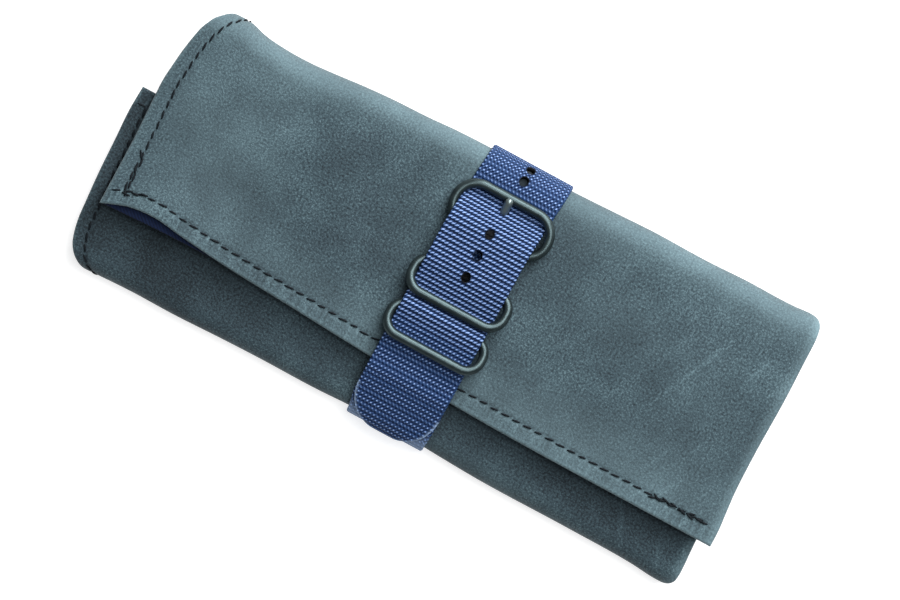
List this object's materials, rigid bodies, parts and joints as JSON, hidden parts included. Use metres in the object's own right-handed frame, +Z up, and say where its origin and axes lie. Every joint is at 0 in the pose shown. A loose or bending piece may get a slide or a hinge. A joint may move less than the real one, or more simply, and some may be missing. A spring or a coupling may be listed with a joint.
{
  "type": "brush roll case",
  "caption": "Leather brush roll folded in three, with a lined pocketed inside and a webbing strap with a pin buckle and keeper rings.",
  "frame": {"origin": "middle of the strap's run under the case, on its underside", "axes": "+X along the roll towards the closed ends, +Y from the front fold to the back fold, +Z up from the table"},
  "size_m": [0.1987, 0.0874, 0.0227],
  "materials": {
    "leather": "nubuck, waxed, matte",
    "lining": "matte woven cloth",
    "webbing": "woven nylon with a soft sheen",
    "hardware": "satin gunmetal",
    "thread": "waxed thread"
  },
  "bodies": {
    "case_body": {"bottom_leather": "leather", "bottom_lining": "lining", "pocket_panel": "lining", "pocket_divider_seams": "thread", "bottom_end_seam": "thread", "back_fold_leather": "leather", "back_fold_lining": "lining", "front_fold_leather": "leather", "front_fold_lining": "lining", "strap_under": "webbing", "strap_anchor_seam": "thread", "strap_back_wrap": "webbing", "strap_front_wrap": "webbing"},
    "flap": {"flap_leather": "leather", "flap_lining": "lining", "flap_front_seam": "thread", "flap_end_seam": "thread", "flap_lock_stitches": "thread", "strap_tail": "webbing"},
    "front_leaf": {"front_leather": "leather", "front_lining": "lining", "front_edge_seam": "thread", "front_end_seam": "thread"},
    "buckle_strap": {"strap_buckle_end": "webbing", "loop_bartacks": "thread"},
    "frame": {"buckle_frame": "hardware"},
    "prong": {"buckle_prong": "hardware"},
    "upper_keeper": {"keeper_upper": "hardware"},
    "lower_keeper": {"keeper_lower": "hardware"}
  },
  "joints": [
    {"name": "flap_fold", "type": "hinge", "parent": "case_body", "child": "flap", "pos_m": [0, 0.03505, 0.00835], "axis": [-1, 0, 0], "range_deg": [0, 160], "deforming": ["flap_leather", "flap_lining", "flap_front_seam", "flap_end_seam", "flap_lock_stitches", "strap_tail", "back_fold_leather", "back_fold_lining", "strap_back_wrap"]},
    {"name": "front_leaf_fold", "type": "hinge", "parent": "case_body", "child": "front_leaf", "pos_m": [0, -0.0354, 0.007], "axis": [1, 0, 0], "range_deg": [0, 165], "deforming": ["front_leather", "front_lining", "front_edge_seam", "front_end_seam", "front_fold_leather", "front_fold_lining", "strap_front_wrap"]},
    {"name": "buckle_strap_fold", "type": "hinge", "parent": "case_body", "child": "buckle_strap", "pos_m": [0, -0.0354, 0.0085], "axis": [1, 0, 0], "range_deg": [0, 165]},
    {"name": "buckle_frame_pivot", "type": "hinge", "parent": "buckle_strap", "child": "frame", "pos_m": [0, 0.0205, 0.0185], "axis": [1, 0, 0], "range_deg": [0, 90]},
    {"name": "prong_pivot", "type": "hinge", "parent": "frame", "child": "prong", "pos_m": [0, 0.0205, 0.0185], "axis": [1, 0, 0], "range_deg": [0, 30]},
    {"name": "keeper_upper_pivot", "type": "hinge", "parent": "buckle_strap", "child": "upper_keeper", "pos_m": [0, 0.008, 0.0185], "axis": [-1, 0, 0], "range_deg": [0, 75]},
    {"name": "keeper_lower_pivot", "type": "hinge", "parent": "buckle_strap", "child": "lower_keeper", "pos_m": [0, -0.006, 0.0185], "axis": [-1, 0, 0], "range_deg": [0, 75]}
  ],
  "couplings": [
    {"joint": "buckle_strap_fold", "follows": "front_leaf_fold", "ratio": 1}
  ]
}
